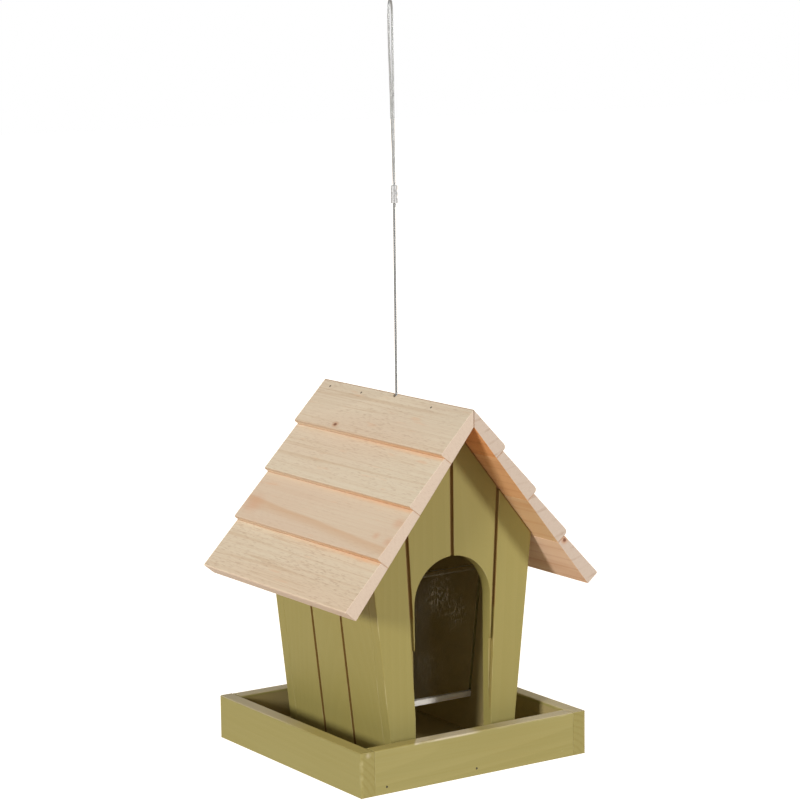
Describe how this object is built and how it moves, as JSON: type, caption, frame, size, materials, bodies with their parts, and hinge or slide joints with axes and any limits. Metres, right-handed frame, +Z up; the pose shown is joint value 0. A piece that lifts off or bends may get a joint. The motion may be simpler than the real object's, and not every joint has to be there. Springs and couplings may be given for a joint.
{
  "type": "bird feeder",
  "caption": "House-shaped hanging bird feeder: square seed tray, arched front, clear pane over the seed, and a stepped roof that slides up its hanging wire for filling.",
  "frame": {"origin": "middle of the tray's underside, under the hanging wire", "axes": "+Z up along the hanging wire, the arched front gable faces -Y, the ridge runs along Y"},
  "size_m": [0.1884, 0.17, 0.4762],
  "materials": {
    "olive_paint": "satin olive paint on softwood, grain faintly telegraphing",
    "bare_pine": "planed bare pine, matt",
    "clear_acrylic": "clear, glossy, lightly scratched",
    "wire_steel": "fine twisted steel strand",
    "sleeve_aluminium": "crimped, satin",
    "brad_steel": "dull, set flush"
  },
  "bodies": {
    "house": {"floor_board": "olive_paint", "left_rail": "olive_paint", "right_rail": "olive_paint", "front_rail": "olive_paint", "rear_rail": "olive_paint", "rail_brads": "brad_steel", "front_gable": "olive_paint", "rear_gable": "olive_paint", "left_wall": "olive_paint", "right_wall": "olive_paint", "pane_rest": "bare_pine", "hanger_beam": "bare_pine", "beam_washer": "brad_steel", "wire_stop": "sleeve_aluminium", "hanging_wire": "wire_steel", "loop_sleeve": "sleeve_aluminium"},
    "pane": {"seed_pane": "clear_acrylic"},
    "roof": {"left_course_1": "bare_pine", "left_course_2": "bare_pine", "left_course_3": "bare_pine", "left_course_4": "bare_pine", "right_course_1": "bare_pine", "right_course_2": "bare_pine", "right_course_3": "bare_pine", "right_course_4": "bare_pine", "ridge_brads": "brad_steel"}
  },
  "joints": [
    {"name": "roof_lift", "type": "slide", "parent": "house", "child": "roof", "axis": [0, 0, 1], "range_m": [0, 0.117]},
    {"name": "pane_lift", "type": "slide", "parent": "house", "child": "pane", "axis": [0, 0, 1], "range_m": [0, 0.036]}
  ]
}
